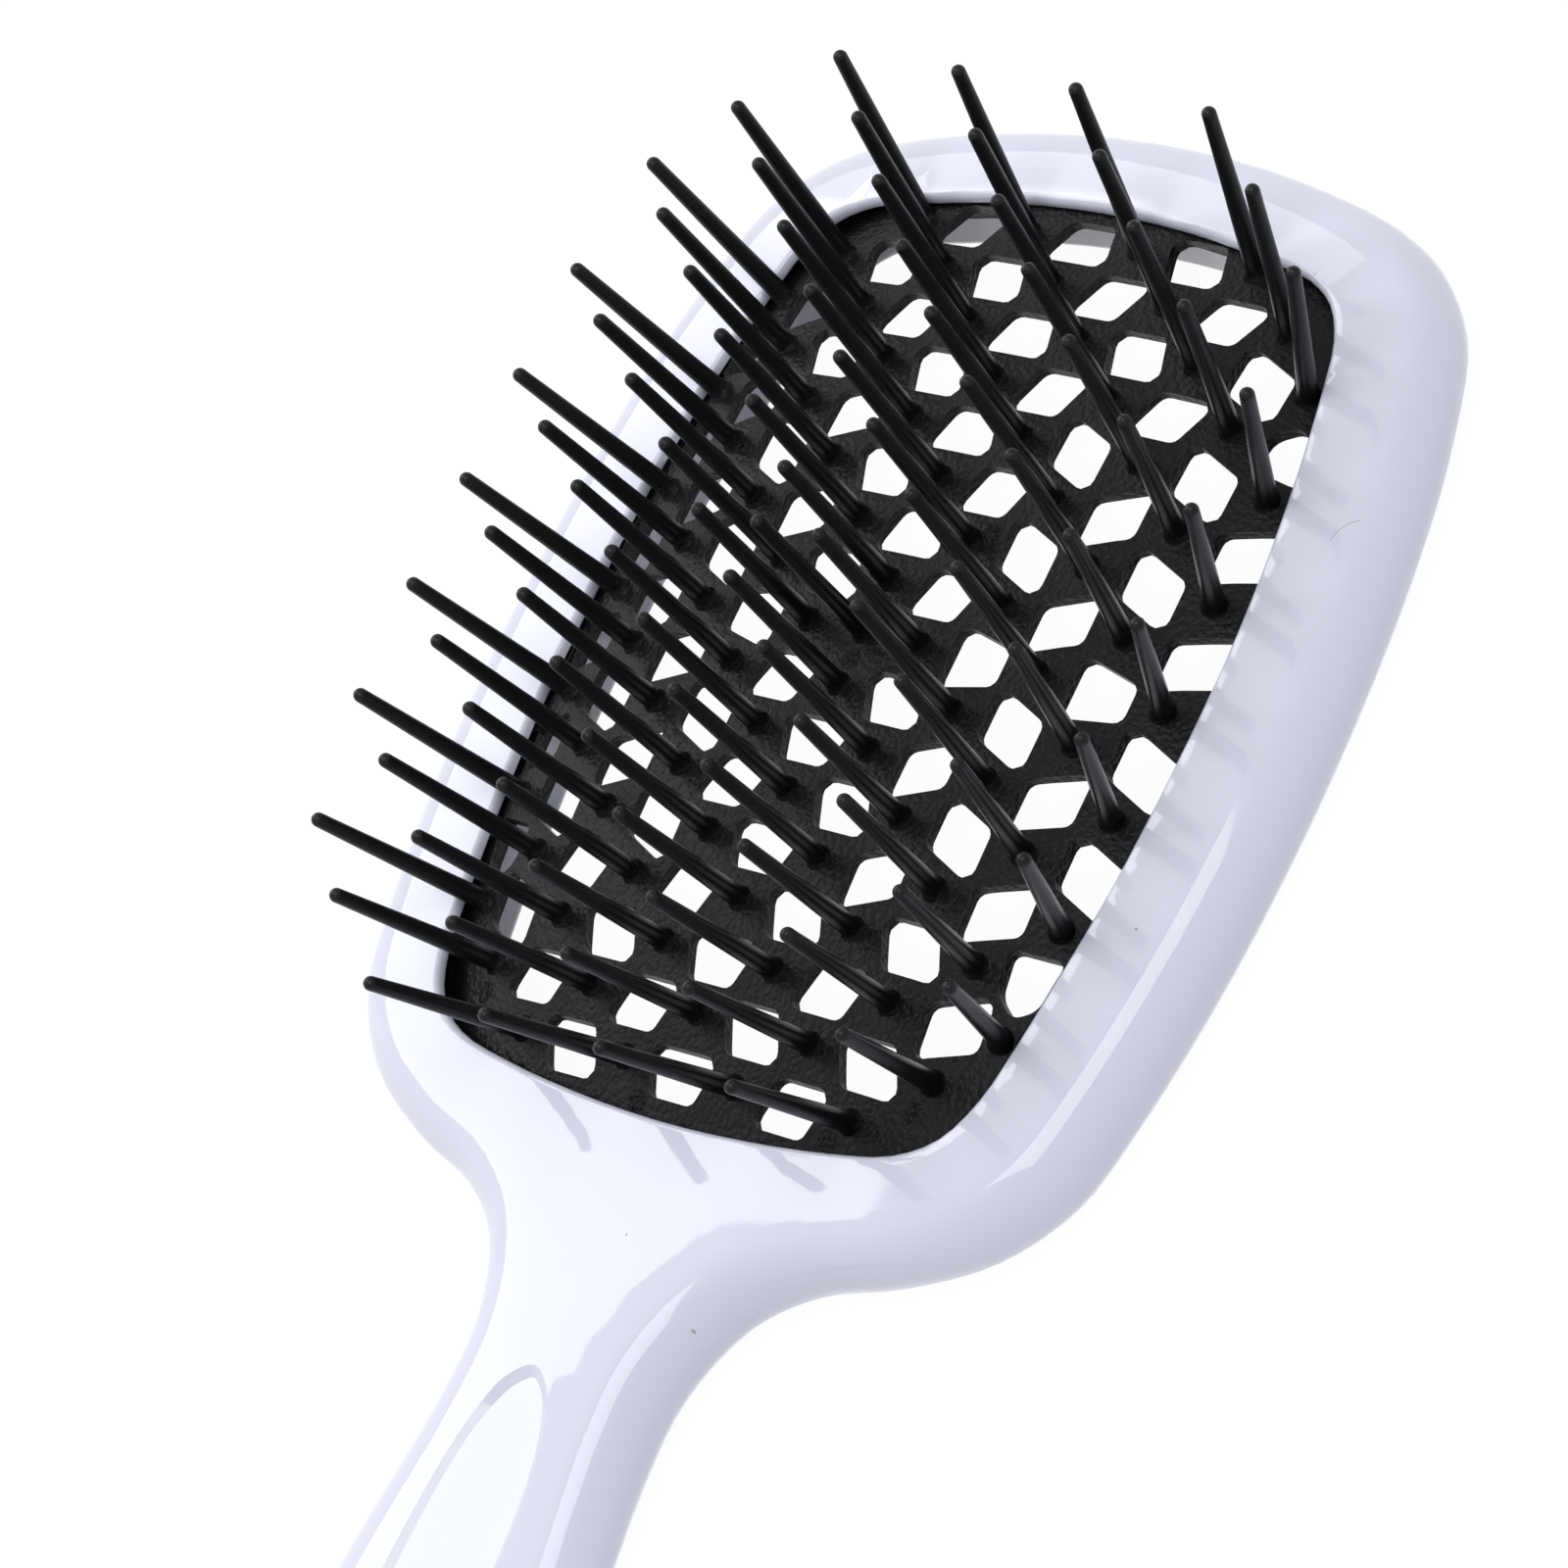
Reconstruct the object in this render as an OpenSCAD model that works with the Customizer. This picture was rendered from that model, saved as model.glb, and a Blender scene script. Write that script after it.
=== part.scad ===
// Vented paddle brush, lying on its back with the pins up.
// X runs across the head, Y along the brush toward the far end of the head,
// Z up along the pins. The origin is under the middle of the brush, on the
// surface that it lies on.

/* [Pin field] */
// Distance across between the pins of one row
pin_pitch = 12.7; // [10:0.1:16]
// Distance between neighbouring rows of pins
row_pitch = 5.08; // [4:0.02:7]
// Length of a pin from the pad to the middle of its round tip
pin_length = 17.5; // [10:0.1:24]
// Diameter of a pin at its root
pin_root_diameter = 1.83; // [1.2:0.01:3]
// Diameter of a pin's round tip
pin_tip_diameter = 1.3; // [0.8:0.01:2.4]

/* [Pad] */
// Wall of the pad
pad_wall = 1.15; // [0.8:0.05:2]
// Height of the pad's middle above the back of the brush
pad_height = 12; // [10:0.1:16]
// Length of the dome's straight middle stretch
dome_middle_length = 24; // [4:1:40]
// Radius of the dome along the brush from there to both ends
dome_end_radius = 126; // [80:1:250]
// Radius of the dome across, on its middle stretch
dome_width_radius = 321; // [200:1:600]
// Radius of the dome across, near both sides
dome_side_radius = 53.3; // [40:0.1:90]
// Width of the middle stretch
dome_middle_width = 34; // [20:1:44]
// Radius of a vent's corners
vent_corner_radius = 1; // [0.3:0.05:1.5]
// Width of a vent beside the middle column
vent_width = 6; // [4:0.05:7]
// Height of a vent along the brush
vent_height = 4.8; // [3:0.05:6]

/* [Frame] */
// From the outermost pins to the side of the opening
side_margin = 2.85; // [2:0.05:8]
// From the last row of pins to the far end of the opening
far_margin = 3.1; // [2:0.05:8]
// From the first row of pins to the near end of the opening
near_margin = 4.45; // [2:0.05:8]
// Width of the frame beside the opening
ring_side = 10.5; // [8:0.1:16]
// Width of the frame at the far end of the opening
ring_far = 8.9; // [8:0.1:16]
// Height of the frame at the opening
frame_height = 8.9; // [8:0.1:12]
// Height of the parting line, where the frame is widest
parting_height = 3.7; // [3:0.1:5]
// Width of the rounding above the parting line
top_round = 4.5; // [3:0.1:6]
// Width of the rounding below the parting line
back_round = 3.5; // [2:0.1:5]
// Fall of the frame's top from the opening to the outer rounding
ring_fall = 0.3; // [0.1:0.05:1]
// Thickness of the lip over the pad's flange
lip_thickness = 0.85; // [0.6:0.05:1.5]
// Rounding of the lip
lip_round = 0.7; // [0.3:0.05:1]
// Rounding of the opening's rim at the back
rim_round = 1.5; // [0.5:0.1:2.5]

/* [Seat of the pad] */
// Depth of the groove in the wall of the opening
groove_depth = 1; // [0.6:0.05:2]
// Clearance round the flange in the groove
flange_clearance = 0.1; // [0.05:0.05:0.4]
// Height of the groove's floor above the back
groove_floor = 5.3; // [3:0.05:6]
// Thickness of the flange
flange_thickness = 1.8; // [1:0.05:2.4]

/* [Handle] */
// Length of the handle from the head's near end
handle_length = 127.6; // [80:0.1:180]
// Width of the neck at its narrowest
neck_width = 21.6; // [14:0.1:30]
// Width of the handle at its widest
handle_width = 27.6; // [20:0.1:36]
// Fall of the handle's top below the head's
handle_fall = 0.6; // [0:0.05:1.5]
// Length of the panel sunk in the handle's top
panel_length = 62; // [30:0.5:90]
// Width of the panel
panel_width = 12; // [8:0.1:16]
// Depth of the panel
panel_depth = 0.55; // [0.3:0.05:1.2]
// Width of the panel's sloping wall
panel_wall = 0.9; // [0.4:0.05:1.5]
// From the head's near end to the panel
panel_start = 13.4; // [8:0.1:40]

/* [Hidden] */
$fn = 32;

steps = 4;            // straight pieces between two points of an outline
outer_columns = 5;    // half pitches from the middle to the outermost pins
last_row = 8;         // rows from the middle to the last one
margin = 1;           // how far a cutter passes the faces that it cuts

opening_half = outer_columns * pin_pitch / 2 + side_margin;
opening_far = last_row * row_pitch + far_margin;
opening_near = last_row * row_pitch + near_margin;
head_half = opening_half + ring_side;
head_far = opening_far + ring_far;
head_near = opening_near + ring_far + 0.8;
handle_end = head_near + handle_length;
middle_y = (head_far - handle_end) / 2;

// ---- curves -------------------------------------------------------------

function unit(v) = v / norm(v);
function smooth(t) = let (s = min(1, max(0, t))) s * s * (3 - 2 * s);

// A closed outline, symmetric about x = 0, from the points of its right half.
function both_sides(half) = concat(half,
    [for (i = [len(half) - 2 : -1 : 1]) [-half[i][0], half[i][1]]]);

// A point of the curve through b and c, with a and d beside them.
function knot(a, b) = pow(norm(b - a), 0.5);
function curve_point(a, b, c, d, t) =
    let (k1 = knot(a, b), k2 = k1 + knot(b, c), k3 = k2 + knot(c, d),
         k = k1 + t * (k2 - k1),
         p = (a * (k1 - k) + b * k) / k1,
         q = (b * (k2 - k) + c * (k - k1)) / (k2 - k1),
         r = (c * (k3 - k) + d * (k - k2)) / (k3 - k2),
         s = (p * (k2 - k) + q * k) / k2,
         u = (q * (k3 - k) + r * (k - k1)) / (k3 - k1))
    (s * (k2 - k) + u * (k - k1)) / (k2 - k1);
function closed_curve(p, count) = let (n = len(p))
    [for (i = [0 : n - 1], j = [0 : count - 1])
        curve_point(p[(i + n - 1) % n], p[i], p[(i + 1) % n],
                    p[(i + 2) % n], j / count)];

// The outline moved outward by a distance, point by point.
function outward(p, by) = let (n = len(p))
    [for (i = [0 : n - 1])
        let (d = unit(p[(i + 1) % n] - p[(i + n - 1) % n]))
        p[i] + by * [-d[1], d[0]]];

// Corners rounded to a radius, each by a few points.
function rounded(p, radius, count) = let (n = len(p))
    [for (i = [0 : n - 1])
        let (b = p[i], ea = p[(i + n - 1) % n] - b, ec = p[(i + 1) % n] - b,
             u = unit(ea), v = unit(ec), half = acos(u * v) / 2,
             t = min(radius / tan(half), 0.45 * norm(ea), 0.45 * norm(ec)),
             r = t * tan(half), c = b + unit(u + v) * r / sin(half))
        for (k = [0 : count])
            c + r * unit((b + u * t - c) * (1 - k / count)
                         + (b + v * t - c) * (k / count))];

// ---- outlines, from the far end round the right side ----------------------

head_points = [
    [0, 1], [0.377, 0.973], [0.698, 0.894], [0.847, 0.779],
    [0.918, 0.618], [0.973, 0.361], [1, 0]];
shoulder_points = [
    [0.987, 0.328], [0.94, 0.601], [0.891, 0.747], [0.776, 0.864],
    [0.61, 0.94]];
opening_points_far = [
    [0, 1], [0.289, 0.989], [0.564, 0.957], [0.717, 0.931],
    [0.815, 0.883], [0.876, 0.808], [0.908, 0.709], [0.942, 0.568],
    [0.977, 0.366], [0.999, 0.1]];
opening_points_near = [
    [0.988, 0.288], [0.962, 0.488], [0.925, 0.687], [0.896, 0.798],
    [0.835, 0.887], [0.728, 0.94], [0.549, 0.969], [0.289, 0.991], [0, 1]];

opening_outline = closed_curve(both_sides(concat(
    [for (p = opening_points_far) [p[0] * opening_half, p[1] * opening_far]],
    [for (p = opening_points_near)
        [p[0] * opening_half, -p[1] * opening_near]])), 3);

neck_half = neck_width / 2;
handle_half = handle_width / 2;
neck_y = -head_near - 14.2;
frame_outline = closed_curve(both_sides(concat(
    [for (p = head_points) [p[0] * head_half, p[1] * head_far]],
    [for (p = shoulder_points) [p[0] * head_half, -p[1] * head_near]],
    [[neck_half + 8.7, -head_near + 0.4], [neck_half + 3.2, neck_y + 10.2],
     [neck_half + 0.3, neck_y + 3.3], [neck_half + 0.2, neck_y - 4],
     [handle_half - 0.9, neck_y - 19], [handle_half - 0.1, neck_y - 41],
     [handle_half, neck_y - 66], [handle_half - 0.5, -handle_end + 22.4],
     [handle_half * 0.8, -handle_end + 8.4],
     [handle_half * 0.43, -handle_end + 1.5], [0, -handle_end]])), steps);

// ---- lofted solids --------------------------------------------------------

// A solid through rings of equal point counts, lowest ring first. Each ring
// is symmetric, and both ends are closed by strips from side to side.
module loft(rings) {
    n = len(rings[0]);
    last = len(rings) - 1;
    half = n / 2;
    polyhedron(
        points = [for (r = rings) each r],
        faces = concat(
            [for (k = [0 : last - 1], i = [0 : n - 1])
                let (a = k * n + i, b = k * n + (i + 1) % n)
                each [[a, b, a + n], [b, b + n, a + n]]],
            [for (i = [0 : half - 1])
                let (a = i, b = i + 1, c = (n - i) % n, d = n - i - 1)
                each (i == 0 ? [[a, d, b]]
                    : i == half - 1 ? [[a, c, b]] : [[a, c, d, b]])],
            [for (i = [0 : half - 1])
                let (a = last * n + i, b = a + 1,
                     c = last * n + (n - i) % n, d = last * n + n - i - 1)
                each (i == 0 ? [[a, b, d]]
                    : i == half - 1 ? [[a, b, c]] : [[a, b, d, c]])]));
}

// Quarter of an ellipse as [inset, height] steps, from its foot to its crown.
function quarter(wide, high, count) =
    [for (k = [0 : count]) let (a = 90 * k / count)
        [wide * (1 - cos(a)), high * sin(a)]];

// How far the frame's top has fallen at a place along the brush.
function top_fall(y) = handle_fall * smooth((-y - head_near) / 40);

// ---- frame with handle ----------------------------------------------------

ring_crown = frame_height - ring_fall;
crown_inset = 8;

module frame_body() {
    back = quarter(back_round, parting_height, 4);
    top = quarter(top_round, ring_crown - parting_height, 6);
    levels = concat(
        [for (k = [4 : -1 : 1]) [back[k][0], parting_height - back[k][1], 0]],
        [[0, parting_height, 0]],
        [for (k = [1 : 6]) [top[k][0], parting_height + top[k][1],
                            top[k][1] / (ring_crown - parting_height)]],
        [[crown_inset, frame_height, 1]]);
    loft([for (l = levels)
        [for (p = outward(frame_outline, -l[0]))
            [p[0], p[1], l[1] - l[2] * top_fall(p[1])]]]);
}

// What the opening takes out: rim, wall, groove, lip and its rounding.
groove_top = frame_height - lip_thickness;
module opening_cutter() {
    rim = quarter(rim_round, rim_round, 3);
    lip = quarter(lip_round, lip_round, 3);
    levels = concat(
        [[rim_round, -margin]],
        [for (k = [3 : -1 : 0]) [rim[k][0], rim_round - rim[k][1]]],
        [[0, groove_floor], [groove_depth, groove_floor],
         [groove_depth, groove_top], [0, groove_top]],
        [for (k = [0 : 3])
            [lip[k][0], frame_height - lip_round + lip[k][1] + 0.02]],
        [[lip_round, frame_height + margin]]);
    loft([for (l = levels)
        [for (p = outward(opening_outline, l[0])) [p[0], p[1], l[1]]]]);
}

// The sunk panel, pointed toward the head and wider down the handle.
panel_half = panel_width / 2;
panel_outline = closed_curve(both_sides([
    [0, 0], [panel_half * 0.4, -1.6], [panel_half * 0.72, -5.6],
    [panel_half * 0.9, -11], [panel_half, -21],
    [panel_half, -panel_length + 18], [panel_half * 0.72, -panel_length + 6],
    [0, -panel_length]]), steps);
module panel_cutter() {
    y = -head_near - panel_start;
    floor_z = frame_height - panel_depth;
    loft([for (l = [[-panel_wall, 0], [0, panel_depth],
                    [panel_wall, 2 * panel_depth]])
        [for (p = outward(panel_outline, l[0]))
            [p[0], p[1] + y, floor_z + l[1] - top_fall(p[1] + y)]]]);
}

module frame_handle() color("white") translate([0, -middle_y, 0])
    difference() {
        frame_body();
        opening_cutter();
        panel_cutter();
    }

// ---- pad with pins ----------------------------------------------------------

// How far the dome has fallen across the pad, and along it.
function arc_fall(r, d) = d <= 0 ? 0 : r - sqrt(r * r - d * d);
function fall_x(x) =
    let (m = dome_middle_width / 2, d = abs(x),
         a = asin(m / dome_width_radius),
         centre = m - dome_side_radius * sin(a))
    d <= m ? arc_fall(dome_width_radius, d)
        : arc_fall(dome_width_radius, m) + dome_side_radius * cos(a)
            - sqrt(pow(dome_side_radius, 2) - pow(d - centre, 2));
function fall_y(y) =
    arc_fall(dome_end_radius, abs(y) - dome_middle_length / 2);

// The pad's section across, as [height over the crown, place across], in
// thousandths so that the stretches of the dome meet exactly.
function to_thousandth(p) = [for (c = p) round(c * 1000) / 1000];
shell_half = opening_half + groove_depth;
shell_steps = 8;
section_x = [for (k = [-shell_steps : shell_steps])
    sign(k) * shell_half * pow(abs(k) / shell_steps, 0.8)];
function section_normal(x) =
    unit([1, (fall_x(abs(x) + 0.01) - fall_x(abs(x))) / 0.01 * sign(x)]);
dome_section = concat(
    [for (x = section_x) to_thousandth([-fall_x(x), x])],
    [for (k = [2 * shell_steps : -1 : 0]) let (x = section_x[k])
        to_thousandth([-fall_x(x), x] - pad_wall * section_normal(x))]);

// A straight middle stretch, and an arc down toward each end.
dome_end_angle = 20;
module dome() {
    translate([0, dome_middle_length / 2, pad_height]) rotate([90, 0, 0])
        linear_extrude(dome_middle_length)
            polygon([for (p = dome_section) [p[1], p[0]]]);
    for (side = [0, 1]) mirror([0, side, 0])
        translate([0, -dome_middle_length / 2, pad_height - dome_end_radius])
            rotate([90, 0, 90]) rotate(90)
                rotate_extrude(angle = dome_end_angle)
                    polygon([for (p = dome_section)
                        [dome_end_radius + p[0], p[1]]]);
}

module outline_slab(by, low, high)
    translate([0, 0, low]) linear_extrude(high - low)
        polygon(outward(opening_outline, by));

// The flange that sits in the frame's groove.
flange_reach = groove_depth - flange_clearance;
module flange() difference() {
    outline_slab(flange_reach, groove_floor, groove_floor + flange_thickness);
    outline_slab(0.05, groove_floor - margin,
                 groove_floor + flange_thickness + margin);
}

// Vents, each between four pins. column and row count half pitches and rows.
half_vent = vent_width / 2;
half_height = vent_height / 2;
slant = 0.4;
vent_shift = -0.35;

function box_corners(w, h, lean_x, lean_y) = [
    [-w - lean_x * h, -h - lean_y * w], [w - lean_x * h, -h + lean_y * w],
    [w + lean_x * h, h + lean_y * w], [-w + lean_x * h, h - lean_y * w]];
// Wide toward the middle of the pad, along one axis or the other.
function wedge_y(near, far, h) = [[-near, -h], [near, -h], [far, h], [-far, h]];
function wedge_x(near, far, w) = [[-w, -near], [w, -far], [w, far], [-w, near]];

function vent_shape(column, row) =
    column == 0 ? wedge_y(half_vent + 1, half_vent - 0.5, half_height - 0.2)
    : row == 0 ? wedge_x(half_height + 0.7, half_height - 0.6, half_vent)
    : column % 2 == 0 && row <= 4 || column == 4
        ? box_corners(half_vent - 0.1, half_height + 0.1, 0, -slant)
    : column % 2 == 0 ? box_corners(half_vent, half_height - 0.1, -slant, 0)
    : column == 1 || row >= 5
        ? box_corners(half_vent, half_height - 0.1, slant, 0)
        : box_corners(half_vent - 0.1, half_height + 0.1, 0, slant);

function has_vent(column, row) =
    (column + row) % 2 == 0 && column + row > 0
    && !(column == 4 && row == last_row)
    && !(column == outer_columns && row >= 5);

module vents() {
    for (column = [0 : outer_columns], row = [0 : last_row])
        if (has_vent(column, row))
            for (sx = column == 0 ? [1] : [-1, 1],
                 sy = row == 0 ? [1] : [-1, 1])
                translate([sx * column * pin_pitch / 2,
                           sy * row * row_pitch + vent_shift, 0])
                    linear_extrude(pad_height + margin)
                        polygon(rounded([for (p = vent_shape(column, row))
                            [p[0] * sx, p[1] * sy]],
                            vent_corner_radius, 3));
}

// Pins lean outward, more toward the sides and the ends.
function pin_x(u, v) = u * pin_pitch
    - sign(u) * (abs(u) == 2.5 ? 0.5 + (abs(v) == 6 ? 1.4 : 0) : 0);
function pin_slope(u, v) = [
    u * (0.0593 + 0.0189 * u * u - 0.00043 * v * v),
    0.0584 + 0.0103 * v + 0.00046 * v * v * v + 0.0009 * u * u];

root_r = pin_root_diameter / 2;
tip_r = pin_tip_diameter / 2;
root_sunk = 0.6;
module pin() {
    translate([0, 0, -root_sunk])
        cylinder(h = pin_length + root_sunk, r1 = root_r + 0.03, r2 = tip_r);
    translate([0, 0, pin_length]) sphere(tip_r);
    translate([0, 0, -root_sunk])
        cylinder(h = root_sunk + 0.8, r1 = root_r + 0.6, r2 = root_r - 0.2);
}

module pins() {
    for (row = [-last_row : last_row])
        for (column = [-outer_columns : outer_columns])
            if ((abs(row) + abs(column)) % 2 == 1
                && !(abs(column) == 5 && abs(row) == last_row)
                || row == 0 && column == 0) {
                u = column / 2;
                s = pin_slope(u, row);
                x = pin_x(u, row);
                y = row * row_pitch;
                translate([x, y, pad_height - fall_x(x) - fall_y(y)])
                    rotate([0, atan(norm(s)), atan2(s[1], s[0])]) pin();
            }
}

module pin_pad() color("#242327") translate([0, -middle_y, 0]) {
    difference() {
        intersection() {
            dome();
            outline_slab(0.5, 0, pad_height + margin);
        }
        vents();
    }
    flange();
    pins();
}

frame_handle();
pin_pad();
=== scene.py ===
"""A vented paddle brush on its back, pins up: a gloss white frame with its
handle, and a grained black pad whose round-ended pins stand between slots.

The frame and the pad are each shown by a copy of their CAD node, with its
loose triangles merged, which carries the moulded finishes. The pad's copy has
four more vents, beside the outermost pins.
"""

import itertools
import math

import bmesh
import bpy
from mathutils import Euler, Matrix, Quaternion, Vector


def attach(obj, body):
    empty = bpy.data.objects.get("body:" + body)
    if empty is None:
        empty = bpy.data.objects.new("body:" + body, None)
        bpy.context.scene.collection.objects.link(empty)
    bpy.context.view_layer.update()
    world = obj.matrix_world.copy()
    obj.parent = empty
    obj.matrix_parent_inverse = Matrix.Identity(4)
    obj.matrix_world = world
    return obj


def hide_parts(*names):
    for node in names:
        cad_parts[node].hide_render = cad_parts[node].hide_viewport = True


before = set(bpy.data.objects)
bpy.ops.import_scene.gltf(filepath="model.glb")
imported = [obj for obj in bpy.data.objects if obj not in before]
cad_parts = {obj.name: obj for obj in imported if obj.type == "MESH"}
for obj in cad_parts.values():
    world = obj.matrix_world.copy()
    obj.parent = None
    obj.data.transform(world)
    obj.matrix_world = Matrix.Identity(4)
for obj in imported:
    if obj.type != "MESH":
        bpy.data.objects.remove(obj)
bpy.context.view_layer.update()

MM = 0.001
WELD_DISTANCE = 0.002 * MM

# Camera: a long lens above the right side, turned toward the head

LENS = 165.64             # mm, on Blender's 36 mm sensor
CAMERA_PLACE = Vector((401.3, -92.2, 445.3)) * MM
CAMERA_TURN = Euler([math.radians(a) for a in (32.424, 32.373, 30.388)])

# The pad: its dome, its side vents and its marks

PAD_MIDDLE_Y = 64.9 * MM
CROWN_HEIGHT = 12.0 * MM          # the middle of the domed pad
DOME_HALF_WIDTH = 34.6 * MM
DOME_HALF_LENGTH = 43.7 * MM
DOME_SIDE_FALL = 4.3 * MM
DOME_END_FALL = 4.2 * MM
DOME_POWER = 2.6
PIN_FOOT_HEIGHT = 1.6 * MM        # how far over the dome the pins' satin starts

# Corners of the vents beside the outermost pins, toward the handle and toward
# the far end, in mm from the middle of the pad, on its right half.
SIDE_VENTS = (
    ((27.7, -23.15), (32.6, -22.7), (31.8, -27.3), (30.0, -28.6), (28.0, -27.0)),
    ((28.4, 22.5), (33.1, 22.0), (32.4, 26.3), (30.7, 27.5), (28.7, 25.9)))
SIDE_VENT_ROUND = 0.8 * MM
SIDE_VENT_LOW = 6.0 * MM          # under the skin, over the frame's lower rim

# Where ejector pins have left round marks on the pad.
EJECTOR_MARKS = [Vector(p) * MM for p in (
    (0.1, 62.2, 0), (8.2, 75.9, 0), (-25.3, 26.6, 0), (-3.5, 21.0, 0),
    (17.4, 22.3, 0), (24.7, 26.5, 0))]
EJECTOR_RADIUS = 1.0 * MM

# The frame: its panel, and the marks of use

PANEL_BOX = (Vector((-8, -80, 7.2)) * MM, Vector((8, 6, 9.5)) * MM)
SPECKS = [Vector(p) * MM for p in (
    (46.0, 41.2, 0), (41.7, 20.4, 0), (44.9, 35.4, 0), (38.4, 46.2, 0),
    (12.0, 4.0, 0), (3.0, 9.5, 0), (26.0, 12.0, 0))]
SPECK_RADIUS = 0.14 * MM
SCRATCH_CENTRE = Vector((42.6, 82.2, 0)) * MM
SCRATCH_RADIUS = 3.4 * MM
SCRATCH_MIDDLE = Vector((39.8, 84.1, 0)) * MM
SCRATCH_REACH = 1.5 * MM          # on either side of its middle
SCRATCH_HALF_WIDTH = 0.035 * MM
MARK_SHARE = 0.55                 # how far a speck or the scratch hides the white

# Shading: the angles, in degrees, past which an edge stays hard
FRAME_HARD_ANGLE = 32
PANEL_HARD_ANGLE = 20
PAD_HARD_ANGLE = 40

# Finishes: how wide and how deep their patterns are
SHADE_WIDTH = 60 * MM             # the white's slow change of shade
WAVE_WIDTH = 14 * MM              # waviness of the gloss
WAVE_DEPTH = 0.4 * MM
PIT_WIDTH = 0.55 * MM             # the pad's grain, coarser than real, to show
PIT_DEPTH = 0.12 * MM
PIT_BEND_WIDTH = 0.6 * MM         # how the pits' outlines wander
PIT_BEND = 0.5 * MM
MOTTLE_WIDTH = 0.45 * MM          # inside the ejector marks
MOTTLE_DEPTH = 0.6 * MM
PIN_GRAIN_WIDTH = 0.7 * MM
PIN_GRAIN_DEPTH = 0.05 * MM

# Studio: its whites, and how strong they are

LAMP_WHITE = "#F8F8FF"
ROOM_WHITE = "#E9EAF4"
ROOM_STRENGTH = 0.5
FLOOR_HALF_WIDTH = 3.0            # m
FLOOR_GAP = 0.1 * MM              # between the floor and the brush's back
FLOOR_SHARE = 0.9                 # of what is seen is glow, and the rest lit matt white
FLOOR_GLOW = 1.06                 # over 1, so that both together show plain white


def linear(hex_colour):
    """An sRGB hex colour as Blender's linear RGBA."""
    parts = [int(hex_colour[k:k + 2], 16) / 255 for k in (1, 3, 5)]
    return [c / 12.92 if c <= 0.04045 else ((c + 0.055) / 1.055) ** 2.4
            for c in parts] + [1]


# Node helper

def add(tree, kind, settings=None, **links):
    """A node with its settings, and links or values for its inputs. An input
    is named with underscores for spaces, or by number as input_0."""
    node = tree.nodes.new(kind)
    for name, value in (settings or {}).items():
        setattr(node, name, value)
    for name, value in links.items():
        key = int(name[6:]) if name.startswith("input_") else name.replace("_", " ")
        if isinstance(value, bpy.types.NodeSocket):
            tree.links.new(value, node.inputs[key])
        else:
            node.inputs[key].default_value = value
    return node


def new_material(name):
    material = bpy.data.materials.new(name)
    material.use_nodes = True
    material.node_tree.nodes.clear()
    return material, material.node_tree


def nearest(tree, place, points):
    """The distance, seen from above, to the nearest of some points."""
    flat = add(tree, "ShaderNodeVectorMath", {"operation": "MULTIPLY"},
               input_0=place, input_1=(1, 1, 0)).outputs[0]
    least = None
    for point in points:
        far = add(tree, "ShaderNodeVectorMath", {"operation": "DISTANCE"},
                  input_0=flat, input_1=point).outputs["Value"]
        least = far if least is None else add(
            tree, "ShaderNodeMath", {"operation": "MINIMUM"},
            input_0=least, input_1=far).outputs[0]
    return least


def hairline(tree, place, centre, radius, middle, reach):
    """1 on a hair-thin arc about a centre, within reach of its middle, and 0
    elsewhere."""
    off = add(tree, "ShaderNodeMath", {"operation": "SUBTRACT"},
              input_0=nearest(tree, place, [centre]), input_1=radius)
    side = add(tree, "ShaderNodeMath", {"operation": "ABSOLUTE"},
               input_0=off.outputs[0])
    thin = add(tree, "ShaderNodeMath", {"operation": "LESS_THAN"},
               input_0=side.outputs[0], input_1=SCRATCH_HALF_WIDTH)
    near = add(tree, "ShaderNodeMath", {"operation": "LESS_THAN"},
               input_0=nearest(tree, place, [middle]), input_1=reach)
    return add(tree, "ShaderNodeMath", {"operation": "MULTIPLY"},
               input_0=thin.outputs[0], input_1=near.outputs[0]).outputs[0]


# Materials

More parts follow.
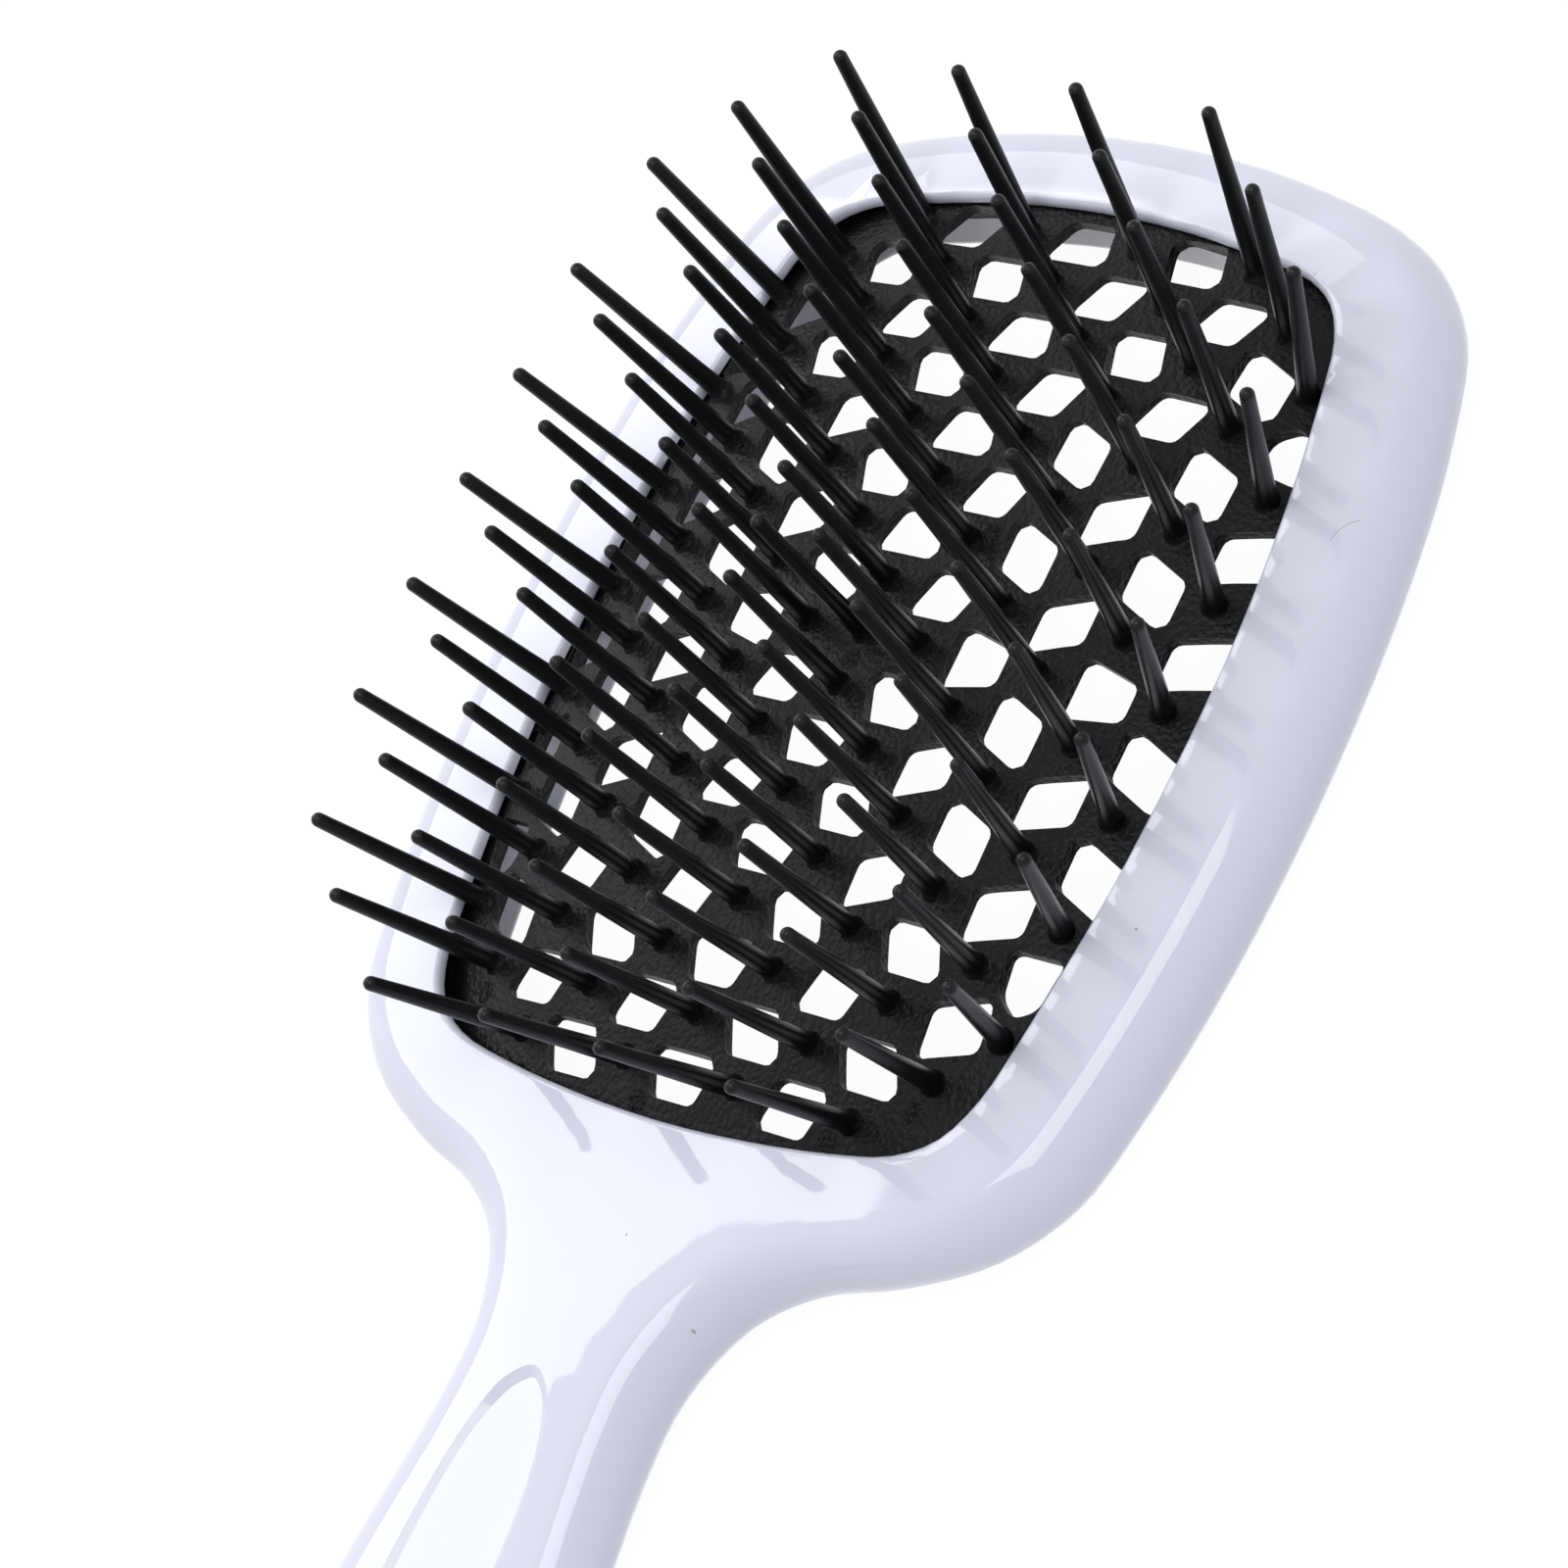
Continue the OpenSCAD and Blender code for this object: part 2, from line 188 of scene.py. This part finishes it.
def gloss_white_abs():
    """White ABS from a polished mould: a clear sharp gloss over a cool, faintly
    lavender white, with a little slow waviness, a few specks and a scratch."""
    material, tree = new_material("gloss_white_abs")
    place = add(tree, "ShaderNodeTexCoord").outputs["Object"]
    shade = add(tree, "ShaderNodeTexNoise", Vector=place,
                Scale=1 / SHADE_WIDTH, Detail=1.0)
    colour = add(tree, "ShaderNodeMix", {"data_type": "RGBA"})
    colour.inputs[6].default_value = linear("#E4E6EE")
    colour.inputs[7].default_value = linear("#E8EAF2")
    tree.links.new(shade.outputs["Fac"], colour.inputs[0])
    dirt = add(tree, "ShaderNodeMath", {"operation": "LESS_THAN"},
               input_0=nearest(tree, place, SPECKS), input_1=SPECK_RADIUS)
    scratch = hairline(tree, place, SCRATCH_CENTRE, SCRATCH_RADIUS,
                       SCRATCH_MIDDLE, SCRATCH_REACH)
    marked = add(tree, "ShaderNodeMath", {"operation": "MAXIMUM"},
                 input_0=dirt.outputs[0], input_1=scratch)
    part = add(tree, "ShaderNodeMath", {"operation": "MULTIPLY"},
               input_0=marked.outputs[0], input_1=MARK_SHARE)
    worn = add(tree, "ShaderNodeMix", {"data_type": "RGBA"})
    tree.links.new(part.outputs[0], worn.inputs[0])
    tree.links.new(colour.outputs[2], worn.inputs[6])
    worn.inputs[7].default_value = linear("#6E6A66")
    wave = add(tree, "ShaderNodeTexNoise", Vector=place, Scale=1 / WAVE_WIDTH,
               Detail=1.0)
    bump = add(tree, "ShaderNodeBump", Height=wave.outputs["Fac"],
               Strength=0.03, Distance=WAVE_DEPTH)
    shader = add(tree, "ShaderNodeBsdfPrincipled", Base_Color=worn.outputs[2],
                 Roughness=0.05, IOR=1.5, Normal=bump.outputs["Normal"])
    add(tree, "ShaderNodeOutputMaterial", Surface=shader.outputs[0])
    return material


def grained_black_nylon():
    """Black nylon from a spark-eroded mould: a fine pitted grain that breaks
    the sheen of the pad into small glints, and mottled round ejector marks."""
    material, tree = new_material("grained_black_nylon")
    place = add(tree, "ShaderNodeTexCoord").outputs["Object"]
    bend = add(tree, "ShaderNodeTexNoise", Vector=place,
               Scale=1 / PIT_BEND_WIDTH, Detail=1.0)
    warp = add(tree, "ShaderNodeVectorMath", {"operation": "SCALE"},
               input_0=bend.outputs["Color"], Scale=PIT_BEND)
    bent = add(tree, "ShaderNodeVectorMath", {"operation": "ADD"},
               input_0=place, input_1=warp.outputs[0])
    cells = add(tree, "ShaderNodeTexVoronoi", {"feature": "SMOOTH_F1"},
                Vector=bent.outputs[0], Scale=1 / PIT_WIDTH, Smoothness=0.4)
    bump = add(tree, "ShaderNodeBump", {"invert": True},
               Height=cells.outputs["Distance"], Strength=0.8, Distance=PIT_DEPTH)
    inside = add(tree, "ShaderNodeMath", {"operation": "LESS_THAN"},
                 input_0=nearest(tree, place, EJECTOR_MARKS),
                 input_1=EJECTOR_RADIUS)
    mottle = add(tree, "ShaderNodeTexNoise", Vector=place,
                 Scale=1 / MOTTLE_WIDTH, Detail=1.0)
    height = add(tree, "ShaderNodeMath", {"operation": "MULTIPLY"},
                 input_0=inside.outputs[0], input_1=mottle.outputs["Fac"])
    bump = add(tree, "ShaderNodeBump", Height=height.outputs[0], Strength=1.0,
               Distance=MOTTLE_DEPTH, Normal=bump.outputs["Normal"])
    shader = add(tree, "ShaderNodeBsdfPrincipled",
                 Base_Color=linear("#0E0D0F"), Roughness=0.4, IOR=1.53,
                 Specular_IOR_Level=0.12, Normal=bump.outputs["Normal"])
    add(tree, "ShaderNodeOutputMaterial", Surface=shader.outputs[0])
    return material


def satin_black_nylon():
    """The same nylon on the pins, where the mould is smoother."""
    material, tree = new_material("satin_black_nylon")
    place = add(tree, "ShaderNodeTexCoord").outputs["Object"]
    grain = add(tree, "ShaderNodeTexNoise", Vector=place,
                Scale=1 / PIN_GRAIN_WIDTH, Detail=2.0)
    bump = add(tree, "ShaderNodeBump", Height=grain.outputs["Fac"],
               Strength=0.2, Distance=PIN_GRAIN_DEPTH)
    shader = add(tree, "ShaderNodeBsdfPrincipled",
                 Base_Color=linear("#100F11"), Roughness=0.33, IOR=1.53,
                 Specular_IOR_Level=0.2, Normal=bump.outputs["Normal"])
    add(tree, "ShaderNodeOutputMaterial", Surface=shader.outputs[0])
    return material


# Pieces

def merged_copy(node, name):
    """A copy of a CAD node's mesh as a new piece, its triangles joined."""
    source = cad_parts[node]
    mesh = source.data.copy()
    mesh.name = name
    mesh.materials.clear()
    piece = bpy.data.objects.new(name, mesh)
    bpy.context.scene.collection.objects.link(piece)
    shape = bmesh.new()
    shape.from_mesh(mesh)
    bmesh.ops.remove_doubles(shape, verts=shape.verts, dist=WELD_DISTANCE)
    shape.to_mesh(mesh)
    shape.free()
    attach(piece, "root")
    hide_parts(node)
    return piece


def shade_smooth_by_angle(piece, degrees, crisp_box=None, crisp_degrees=0):
    """Smooth shading, with edges sharper than the angle kept hard, and a
    smaller angle for edges that lie in the crisp box."""
    mesh = piece.data
    if mesh.has_custom_normals:
        with bpy.context.temp_override(object=piece, active_object=piece):
            bpy.ops.mesh.customdata_custom_splitnormals_clear()
    mesh.shade_smooth()
    shape = bmesh.new()
    shape.from_mesh(mesh)
    for edge in shape.edges:
        middle = (edge.verts[0].co + edge.verts[1].co) / 2
        crisp = crisp_box and all(
            low < c < high
            for low, c, high in zip(crisp_box[0], middle, crisp_box[1]))
        limit = math.radians(crisp_degrees if crisp else degrees)
        edge.smooth = len(edge.link_faces) == 2 and edge.calc_face_angle(0) < limit
    shape.to_mesh(mesh)
    shape.free()


def build_frame_handle():
    piece = merged_copy("frame_handle", "frame_with_handle")
    shade_smooth_by_angle(piece, FRAME_HARD_ANGLE, PANEL_BOX, PANEL_HARD_ANGLE)
    flats = piece.modifiers.new("flats_kept_flat", "WEIGHTED_NORMAL")
    flats.keep_sharp = True
    piece.data.materials.append(gloss_white_abs())


def dome_height(x, y):
    """Roughly where the pad's top is, to tell the pins from it."""
    across = abs(x) / DOME_HALF_WIDTH
    along = abs(y - PAD_MIDDLE_Y) / DOME_HALF_LENGTH
    return (CROWN_HEIGHT - DOME_SIDE_FALL * across ** DOME_POWER
            - DOME_END_FALL * along ** DOME_POWER)


def cut_side_vents(piece):
    """Open the vents beside the outermost pins, on both sides, through the
    pad's skin."""
    shape = bmesh.new()
    for side, corners in itertools.product((1, -1), SIDE_VENTS):
        shape.faces.new([
            shape.verts.new((side * x * MM, PAD_MIDDLE_Y + y * MM, SIDE_VENT_LOW))
            for x, y in corners])
    raised = bmesh.ops.extrude_face_region(
        shape, geom=shape.edges[:] + shape.faces[:], use_keep_orig=True)
    bmesh.ops.translate(
        shape, vec=(0, 0, CROWN_HEIGHT - SIDE_VENT_LOW),
        verts=[v for v in raised["geom"] if isinstance(v, bmesh.types.BMVert)])
    upright = [e for e in shape.edges
               if abs(e.verts[0].co.z - e.verts[1].co.z) > MM]
    bmesh.ops.bevel(shape, geom=upright, offset=SIDE_VENT_ROUND,
                    segments=4, profile=0.5, affect="EDGES", material=-1)
    bmesh.ops.recalc_face_normals(shape, faces=shape.faces)
    mesh = bpy.data.meshes.new("vent_cutter")
    shape.to_mesh(mesh)
    shape.free()
    cutter = bpy.data.objects.new("vent_cutter", mesh)
    bpy.context.scene.collection.objects.link(cutter)
    cut = piece.modifiers.new("side_vents", "BOOLEAN")
    cut.operation, cut.object, cut.solver = "DIFFERENCE", cutter, "MANIFOLD"
    graph = bpy.context.evaluated_depsgraph_get()
    result = bpy.data.meshes.new_from_object(piece.evaluated_get(graph))
    piece.modifiers.remove(cut)
    result.materials.clear()
    piece.data = result
    bpy.data.objects.remove(cutter)


def build_pin_pad():
    piece = merged_copy("pin_pad", "pin_pad_moulding")
    cut_side_vents(piece)
    shade_smooth_by_angle(piece, PAD_HARD_ANGLE)
    piece.data.materials.append(grained_black_nylon())
    piece.data.materials.append(satin_black_nylon())
    for face in piece.data.polygons:
        c = face.center
        if c.z > dome_height(c.x, c.y) + PIN_FOOT_HEIGHT:
            face.material_index = 1


# Floor, lights, camera

def seen_directly(tree):
    """1 for the rays that look at the background: those of the camera, and
    those that come to it through gloss or glass."""
    rays = add(tree, "ShaderNodeLightPath").outputs
    turned = add(tree, "ShaderNodeMath", {"operation": "MAXIMUM"},
                 input_0=rays["Is Glossy Ray"],
                 input_1=rays["Is Transmission Ray"])
    return add(tree, "ShaderNodeMath", {"operation": "MAXIMUM"},
               input_0=rays["Is Camera Ray"], input_1=turned.outputs[0])


def build_floor():
    """A flat white floor that the camera sees as plain white, with a faint shadow."""
    shape = bmesh.new()
    bmesh.ops.create_grid(shape, x_segments=1, y_segments=1,
                          size=FLOOR_HALF_WIDTH)
    mesh = bpy.data.meshes.new("floor")
    shape.to_mesh(mesh)
    shape.free()
    floor = bpy.data.objects.new("floor", mesh)
    bpy.context.scene.collection.objects.link(floor)
    floor.location.z = -FLOOR_GAP
    material, tree = new_material("white_sweep")
    seen = seen_directly(tree)
    glow = add(tree, "ShaderNodeEmission", Strength=FLOOR_GLOW)
    matt = add(tree, "ShaderNodeBsdfDiffuse", Color=linear("#F2F2F6"))
    share = add(tree, "ShaderNodeMath", {"operation": "MULTIPLY"},
                input_0=seen.outputs[0], input_1=FLOOR_SHARE)
    mix = add(tree, "ShaderNodeMixShader", input_0=share.outputs[0],
              input_1=matt.outputs[0], input_2=glow.outputs[0])
    add(tree, "ShaderNodeOutputMaterial", Surface=mix.outputs[0])
    mesh.materials.append(material)


def softbox(name, place, aim, size, radiance, turn=0):
    """A rectangular studio lamp pointed at a place on the brush or beside it,
    as bright to look at as the radiance says, turned about its own axis."""
    width, height = size
    lamp = bpy.data.lights.new(name, "AREA")
    lamp.shape = "RECTANGLE"
    lamp.size, lamp.size_y = width, height
    lamp.energy = 4 * radiance * width * height
    lamp.color = linear(LAMP_WHITE)[:3]
    thing = bpy.data.objects.new(name, lamp)
    thing.location = place
    thing.rotation_mode = "QUATERNION"
    facing = (Vector(aim) - Vector(place)).to_track_quat("-Z", "Y")
    thing.rotation_quaternion = facing @ Quaternion((0, 0, 1), math.radians(turn))
    bpy.context.scene.collection.objects.link(thing)


def build_lights():
    """The left softbox shows in the gloss of the neck and the left rim, and
    its edge falls before the right limb, which stays greyer. A smaller one
    shows in the far rim, and the top one in the round of the right limb."""
    softbox("left_softbox", place=(-0.869, 0.1717, 0.758),
            aim=(-0.087, -0.058, -0.053), size=(0.8, 0.5), radiance=3.0, turn=31)
    softbox("far_softbox", place=(-0.762, 0.649, 0.726),
            aim=(0.02, 0.419, -0.085), size=(0.34, 0.36), radiance=1.7)
    softbox("top_softbox", place=(0.25, 0.0, 1.2), aim=(0.0, 0.02, 0.0),
            size=(0.7, 0.7), radiance=3.0)


def build_world():
    world = bpy.data.worlds.new("studio")
    world.use_nodes = True
    tree = world.node_tree
    tree.nodes.clear()
    seen = seen_directly(tree)
    room = add(tree, "ShaderNodeBackground", Color=linear(ROOM_WHITE),
               Strength=ROOM_STRENGTH)
    white = add(tree, "ShaderNodeBackground", Color=(1, 1, 1, 1), Strength=1.0)
    mix = add(tree, "ShaderNodeMixShader", input_0=seen.outputs[0],
              input_1=room.outputs[0], input_2=white.outputs[0])
    add(tree, "ShaderNodeOutputWorld", Surface=mix.outputs[0])
    bpy.context.scene.world = world


def build_camera():
    lens = bpy.data.cameras.new("photo_camera")
    lens.lens = LENS
    lens.clip_start, lens.clip_end = 0.01, 20
    camera = bpy.data.objects.new("photo_camera", lens)
    camera.location = CAMERA_PLACE
    camera.rotation_euler = CAMERA_TURN
    bpy.context.scene.collection.objects.link(camera)
    bpy.context.scene.camera = camera


build_frame_handle()
build_pin_pad()
build_floor()
build_lights()
build_world()
build_camera()
bpy.context.scene.view_settings.view_transform = "Standard"
